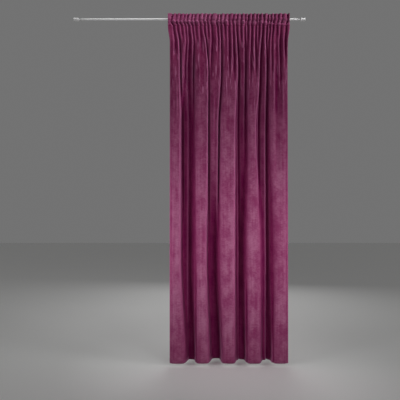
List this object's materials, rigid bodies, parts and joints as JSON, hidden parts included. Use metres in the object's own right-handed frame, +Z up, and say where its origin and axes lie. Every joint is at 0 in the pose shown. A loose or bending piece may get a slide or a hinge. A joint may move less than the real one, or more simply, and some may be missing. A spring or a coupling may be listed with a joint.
{
  "type": "curtain panel on a rod",
  "caption": "Long velvet curtain panel gathered in pencil pleats by a tunnel tape, hanging in uneven folds from a slim round metal rod with turned ends.",
  "frame": {"origin": "on the rod's axis, at the middle of its length", "axes": "+X along the rod, -Y towards the room and the viewer, +Z up"},
  "size_m": [1.8, 0.1138, 2.7003],
  "materials": {
    "velvet": "short-pile velvet, plum, with a soft sheen and cloudy nap marks",
    "tape": "plain woven off-white tape with drawn cords",
    "pole_metal": "satin silver-grey tube",
    "finial_metal": "satin silver-grey turned ends"
  },
  "bodies": {
    "root": {"curtain_panel": "velvet", "heading_tape": "tape", "rod_pole": "pole_metal", "finial_left": "finial_metal", "finial_right": "finial_metal"}
  },
  "joints": []
}
